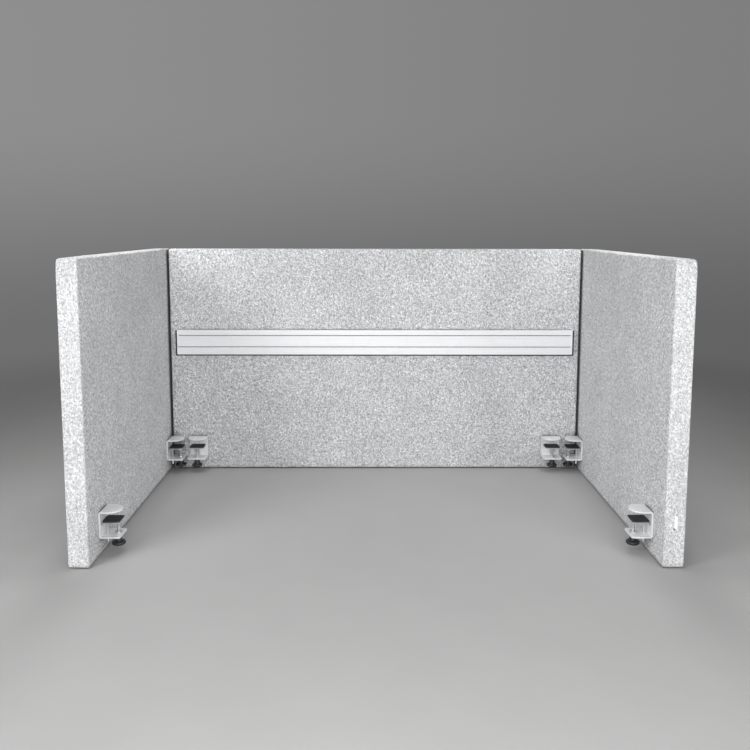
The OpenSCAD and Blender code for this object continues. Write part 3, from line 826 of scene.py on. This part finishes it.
def clamp_stud(clamp):
    """M8 stud, plain where it turns in the plate's socket."""
    low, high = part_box(clamp + "_stud")
    place = jaw_frame(clamp)
    neck = SOCKET_Z - 1 * MM
    neck_r, plain_r, tip_r = 3.3 * MM, 3.85 * MM, 3.1 * MM
    bottom, top = low.z - place.translation.z, high.z - place.translation.z
    rod = threaded(STUD_D, STUD_PITCH, bottom, neck)
    plain = turned(
        [
            (0, neck - 0.5 * MM),
            (neck_r, neck - 0.5 * MM),
            (neck_r, neck + 0.8 * MM),
            (plain_r, neck + 1.2 * MM),
            (plain_r, top - 0.8 * MM),
            (tip_r, top),
            (0, top),
        ]
    )
    part = moved(join([rod, plain]), Matrix.Translation((STUD_REACH, 0, 0)))
    stud = add_mesh(clamp + "_threaded_stud", *part, steel, clamp + "_screw", "zinc", at=place, sharp=35)
    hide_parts(clamp + "_stud")


# The bracket screws' heads and sockets
HEAD_R = 5.7 * MM
HEAD_H = 2.85 * MM  # height of the cone, and its radius at the bottom
HEX_R = 2.0 * MM  # from the socket's axis to its flats
HEX_DEEP = 2.2 * MM


def socket_head(segments=48):
    """Countersunk head with a hexagon socket. Its face is at z = 0, and it points down."""
    points, faces = [], []

    def ring(radius_at, height):
        start = len(points)
        for s in range(segments):
            angle = 2 * math.pi * s / segments
            points.append(round_point(radius_at(angle), angle, height))
        return start

    def round_at(radius):
        return lambda angle: radius

    def hex_at(flat):
        step = math.pi / 3
        return lambda angle: flat / math.cos((angle + step / 2) % step - step / 2)

    rings = [
        ring(round_at(HEAD_H), -HEAD_H),
        ring(round_at(HEAD_R), -0.25 * MM),
        ring(round_at(HEAD_R - 0.15 * MM), -0.05 * MM),
        ring(round_at(HEAD_R - 0.4 * MM), 0),
        ring(hex_at(HEX_R + 0.25 * MM), 0),
        ring(hex_at(HEX_R), -0.25 * MM),
        ring(hex_at(HEX_R), -HEX_DEEP),
    ]
    for a, b in zip(rings, rings[1:]):
        faces += band(a, b, segments)
    points.append((0, 0, -HEX_DEEP - 0.5 * MM))
    for s in range(segments):
        faces.append((rings[-1] + s, rings[-1] + (s + 1) % segments, len(points) - 1))
    points.append((0, 0, -HEAD_H))
    for s in range(segments):
        faces.append((rings[0] + (s + 1) % segments, rings[0] + s, len(points) - 1))
    return points, faces


def bracket_screws():
    """M6 countersunk screws that hold the brackets, each turned differently."""
    parts = []
    thread_rod = threaded(6 * MM, 1 * MM, -SCREW_L, -2.4 * MM, segments=16, steps=5)
    screw = join([socket_head(), thread_rod])
    # A screw points along -x of its clamp, with its face flush with the web
    lay = Matrix.Rotation(math.radians(90), 4, "Y")
    for n, clamp in enumerate(CLAMPS):
        for side in (-1, 1):
            at = Matrix.Translation((SHEET_T, side * SCREW_SPAN / 2, SCREW_Z))
            spin = Matrix.Rotation(0.4 + 1.3 * n + 0.7 * side, 4, "Z")
            parts.append(moved(screw, jaw_frame(clamp) @ at @ lay @ spin))
    piece = add_mesh("countersunk_screws", *join(parts), steel, "screens", "zinc", sharp=35)
    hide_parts("bracket_screws")


# The tag's ribbon and its stitches
LAYER_T = 0.28 * MM  # thickness of the ribbon
LAYER_OFF = 0.16 * MM  # from the felt to the middle of the lower layer
LAYER_RISE = 0.4 * MM  # from there to the middle of the upper layer
STITCH_OFF = 0.85 * MM  # from the felt to the ends of the bar's stitches
STITCH_R = 0.42 * MM


def ribbon_line(width):
    """The folded ribbon's middle in plan: the lower layer, the fold and the upper layer, as (x, y)."""
    lower, fold, upper = 8, 7, 10
    start = width - 0.4 * MM
    line = [(start - width * 0.9 * s / lower, -LAYER_OFF) for s in range(lower + 1)]
    fold_x = line[-1][0]
    for s in range(1, fold):
        angle = math.pi * s / fold
        out = LAYER_RISE / 2 * (1 - math.cos(angle))
        line.append((fold_x - LAYER_RISE / 2 * math.sin(angle), -LAYER_OFF - out))
    for s in range(upper + 1):
        ripple = 0.05 * MM * math.sin(s)
        line.append((fold_x + width * 0.92 * s / upper, -LAYER_OFF - LAYER_RISE - ripple))
    return line


def tag(rows=14):
    """Blank ribbon folded double and sewn flat to the right wing's front end."""
    low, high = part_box("sewn_tag")
    width, back = high.x - low.x, high.y
    line = ribbon_line(width)
    count = len(line)
    points, faces = [], []
    for side in (-1, 1):
        for r in range(rows + 1):
            up = r / rows
            sag = 0.06 * MM * math.sin(7 * up + 1)
            for n, (x, y) in enumerate(line):
                a, b = line[max(0, n - 1)], line[min(count - 1, n + 1)]
                along = Vector((b[0] - a[0], b[1] - a[1])).normalized()
                off = Vector((along.y, -along.x)) * side * LAYER_T / 2
                lift = sag if n > count // 2 else 0
                z = low.z + (high.z - low.z) * up
                points.append((low.x + x + off.x, back + y + off.y - lift, z))
    block = count * (rows + 1)
    for r in range(rows):
        for n in range(count - 1):
            a = r * count + n
            faces.append((a, a + 1, a + count + 1, a + count))
            faces.append((block + a, block + a + count, block + a + count + 1, block + a + 1))
    for n in range(count - 1):
        faces.append((n, block + n, block + n + 1, n + 1))
        a = rows * count + n
        faces.append((a, a + 1, block + a + 1, block + a))
    for r in range(rows):
        for n, flip in ((0, False), (count - 1, True)):
            a = r * count + n
            face = (a, a + count, block + a + count, block + a)
            faces.append(face[::-1] if flip else face)
    piece = add_mesh("folded_tag", points, faces, ribbon, "screens", "tag", sharp=50)
    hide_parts("sewn_tag")
    stitches = tag_stitches(low, high, back - STITCH_OFF)


def strand(a, b, radius, bow, segments=8, steps=8):
    """A short thread from a to b that bows towards -y in the middle."""
    a, b = Vector(a), Vector(b)
    along = (b - a).normalized()
    across = along.cross(Vector((0, 1, 0))).normalized()
    out = along.cross(across)
    points, faces = [], []
    for n in range(steps + 1):
        share = n / steps
        middle = a.lerp(b, share) + Vector((0, -bow * math.sin(math.pi * share), 0))
        thin = radius * (0.55 + 0.45 * math.sin(math.pi * share))
        for s in range(segments):
            angle = 2 * math.pi * s / segments
            points.append(middle + across * thin * math.cos(angle) + out * thin * math.sin(angle))
    for n in range(steps):
        faces += band(n * segments, (n + 1) * segments, segments)
    faces.append(tuple(reversed(range(segments))))
    faces.append(tuple(steps * segments + s for s in range(segments)))
    return points, faces


def tag_stitches(low, high, front):
    """Dark bar of stitches across the top of the tag, and longer ones below its lower corner."""
    parts = []
    for n in range(4):
        x = low.x + (2.2 + 1.3 * n) * MM
        for drop in (0.7, 1.5, 2.3):
            start = (x, front, high.z - drop * MM)
            end = (x + 1.5 * MM, front, high.z - (drop + 0.4) * MM)
            parts.append(strand(start, end, STITCH_R, 0.3 * MM))
    nearer = front + 0.9 * MM
    for n in range(6):
        z = low.z - 0.9 * n * MM
        start = (low.x + (-2.6 + 0.2 * n) * MM, nearer, z + 1.0 * MM)
        end = (low.x + (2.2 + 0.25 * n) * MM, nearer, z - 0.7 * MM)
        parts.append(strand(start, end, STITCH_R, 0.4 * MM))
    return add_mesh("tag_stitches", *join(parts), thread, "screens", "tag")


# The object

for number, side in enumerate(("left", "back", "right")):
    felt_cover(side, 3.1 + 7.3 * number)
    bottom_strip(side, 41.0 + number)
    core(side, 57.0 + number)
for clamp in CLAMPS:
    clamp_stud(clamp)
bracket_screws()
tag()

# Materials by the ending of a node's name
NODE_LOOKS = {
    "_frame": timber, "_clamp_blocks": timber, "threaded_inserts": brass, "rail_backing": black_sheet,
    "rail_screws": dark_steel, "tool_rail": rail_alu, "rail_end_caps": cap_plastic, "threaded_bushes": steel,
    "top_pads": pad_rubber, "_pressure_pad": grip_rubber, "_guide_pin": steel, "_knob": knob_plastic,
}
# Width in millimetres of the edges' bevel, by the same
NODE_BEVELS = {
    "_bracket": 0.35, "tool_rail": 0.2, "rail_end_caps": 0.5, "_pressure_plate": 0.3, "_pressure_pad": 0.4,
    "threaded_bushes": 0.3, "rail_backing": 0.2, "_knob": 0.3, "top_pads": 0.2, "_guide_pin": 0.2,
    "rail_screws": 0.4, "_frame": 1.5, "_clamp_blocks": 0.8,
}


def ending(name, entries):
    """The entry for the ending that the name has, or None."""
    return next((value for end, value in entries.items() if name.endswith(end)), None)


def dress(name, piece):
    """Gives one of the CAD's pieces its material, and bevels its edges."""
    sideways = name.startswith("back_")
    look = ending(name, NODE_LOOKS)
    if name.endswith("_bracket"):
        look = bracket_y if sideways else bracket_x
    elif name.endswith("_pressure_plate"):
        look = plate_steel_y if sideways else plate_steel_x
    piece.material_slots[0].link = "OBJECT"
    piece.material_slots[0].material = look
    modify(piece, "WELD", merge_threshold=0.005 * MM)
    width = ending(name, NODE_BEVELS)
    if width:
        bevel(piece, width * MM, 35)


for name, piece in nodes.items():
    if not piece.hide_render:
        dress(name, piece)


# Stage, lights and camera

BACKDROP = 0.235
FLOOR = 0.42
FLOOR_REACH = 14.0
FLOOR_Z = -1.2 * MM  # clear of the covers' uneven lower edges
CLEAR_FROM, CLEAR_TO = 1.0, 3.8  # where the floor starts to clear, and where it is gone
WORLD_LIGHT = 0.02

# Name, place, aim, width in metres and power in watts
SOFTBOXES = (
    ("key", (-1.9, -1.9, 1.9), (-0.2, -0.2, 0.45), 1.1, 32),
    ("fill", (1.3, -1.85, 1.6), (0.4, -0.2, 0.4), 1.1, 6.5),
    ("front", (0, -1.9, 0.7), (0, 0.2, 0.5), 1.2, 19.3),
    ("left_front", (-1.6, -1.7, 0.7), (-0.7, -0.4, 0.4), 0.8, 10),
    ("right_front", (1.6, -1.7, 0.7), (0.7, -0.4, 0.4), 0.8, 11.5),
    ("rear", (0.3, 2.4, 0.9), (0, 0.4, 0.4), 1.2, 22),
    ("above", (0, 0, 3.2), (0, 0, 0), 0.6, 9),
)
# The wings' top lamps: watts a metre, and height above the wings
TOP_POWER = 3.2
TOP_RISE = 0.4

# Where the photograph was taken from, found from the screens' corners in it
CAMERA_AT = (-0.017, -2.2922, 0.835)
CAMERA_PITCH, CAMERA_YAW, CAMERA_ROLL = 0.1135, 0.0063, 0.0018
CAMERA_LENS = 37.91
CAMERA_SHIFT = -0.0777


def stage_floor():
    """Pale floor that clears into the backdrop's colour far from the object."""
    corners = [(x * FLOOR_REACH, y * FLOOR_REACH, 0) for x, y in ((-1, -1), (1, -1), (1, 1), (-1, 1))]
    mesh = bpy.data.meshes.new("floor")
    mesh.from_pydata(corners, [], [(0, 1, 2, 3)])
    floor = bpy.data.objects.new("floor", mesh)
    bpy.context.scene.collection.objects.link(floor)
    floor.location.z = FLOOR_Z
    look = Look("floor", (FLOOR, FLOOR, FLOOR), Roughness=0.85)
    look.shader.inputs["Specular IOR Level"].default_value = 0.2
    dust = look.noise(6, detail=4)
    look.color(look.blend(dust, gray(FLOOR * 0.96, 0.004), gray(FLOOR * 1.04, 0.004)))
    away = look.node("VectorMath", i0=look.node("TexCoord").outputs["Object"])
    away.operation = "LENGTH"
    clear = look.node("MapRange", i0=away.outputs["Value"], i1=CLEAR_FROM, i2=CLEAR_TO)
    clear.interpolation_type = "SMOOTHSTEP"
    gone = look.node("BsdfTransparent")
    mixed = look.node("MixShader", i0=clear.outputs[0], i1=look.shader.outputs[0], i2=gone.outputs[0])
    look.links.new(mixed.outputs[0], look.nodes["Material Output"].inputs["Surface"])
    mesh.materials.append(look.material)


def studio_world():
    """Even light for the object, and the grey backdrop for the camera, for gloss and through clear things."""
    world = bpy.data.worlds.new("studio")
    bpy.context.scene.world = world
    world.use_nodes = True
    tree = world.node_tree
    tree.nodes.clear()

    def eased(value, low, high, to_low, to_high):
        made = add_node(tree, "MapRange", i0=value, i1=low, i2=high, i3=to_low, i4=to_high)
        made.interpolation_type = "SMOOTHSTEP"
        return made.outputs[0]

    def both(operation, a, b):
        made = add_node(tree, "Math", i0=a, i1=b)
        made.operation = operation
        return made.outputs[0]

    direction = add_node(tree, "TexCoord").outputs["Generated"]
    x, _, z = add_node(tree, "SeparateXYZ", i0=direction).outputs
    # Darker to the right and towards the floor
    across = eased(x, -0.6, 0.6, 1.12, 0.84)
    down = eased(z, -0.14, 0.14, 0.62, 1.06)
    shown = add_node(tree, "Background", i0=gray(BACKDROP), i1=both("MULTIPLY", across, down))
    light = add_node(tree, "Background", i0=(1, 1, 1, 1), i1=WORLD_LIGHT)
    rays = add_node(tree, "LightPath").outputs
    through = both("MAXIMUM", rays["Is Glossy Ray"], rays["Is Transmission Ray"])
    seen = both("MAXIMUM", rays["Is Camera Ray"], through)
    mixed = add_node(tree, "MixShader", i0=seen, i1=light.outputs[0], i2=shown.outputs[0])
    add_node(tree, "OutputWorld", i0=mixed.outputs[0])


def area_lamp(name, power, width, depth=None):
    """Area lamp that the camera doesn't see. It is square if no depth is given."""
    lamp = bpy.data.lights.new(name, "AREA")
    lamp.shape = "RECTANGLE" if depth else "SQUARE"
    lamp.size = width
    if depth:
        lamp.size_y = depth
    lamp.energy = power
    made = bpy.data.objects.new(name, lamp)
    bpy.context.scene.collection.objects.link(made)
    made.visible_camera = False
    return made


def softbox(name, place, aim, width, power):
    """Square lamp at `place`, turned to `aim`."""
    made = area_lamp(name, power, width)
    made.location = place
    made.rotation_euler = (Vector(aim) - Vector(place)).to_track_quat("-Z", "Y").to_euler()


def top_light(side):
    """Narrow lamp along a screen, straight above its top face."""
    place, (length, thick, high) = screen_frame(side)
    made = area_lamp(side + "_top", TOP_POWER * length, length, thick)
    made.matrix_world = place @ Matrix.Translation((0, thick / 2, high + TOP_RISE))


def photo_camera():
    """Camera that sees the object as the photograph does."""
    lens = bpy.data.cameras.new("camera")
    lens.lens = CAMERA_LENS
    lens.sensor_width = 36
    lens.shift_y = CAMERA_SHIFT
    lens.clip_end = 100
    camera = bpy.data.objects.new("camera", lens)
    bpy.context.scene.collection.objects.link(camera)
    camera.matrix_world = (
        Matrix.Translation(CAMERA_AT)
        @ Matrix.Rotation(-CAMERA_YAW, 4, "Z")
        @ Matrix.Rotation(math.pi / 2 - CAMERA_PITCH, 4, "X")
        @ Matrix.Rotation(CAMERA_ROLL, 4, "Z")
    )
    return camera


stage_floor()
studio_world()
for settings in SOFTBOXES:
    softbox(*settings)
for side in ("left", "right"):
    top_light(side)
bpy.context.scene.camera = photo_camera()
bpy.context.scene.view_settings.view_transform = "Standard"

bpy.context.view_layer.update()
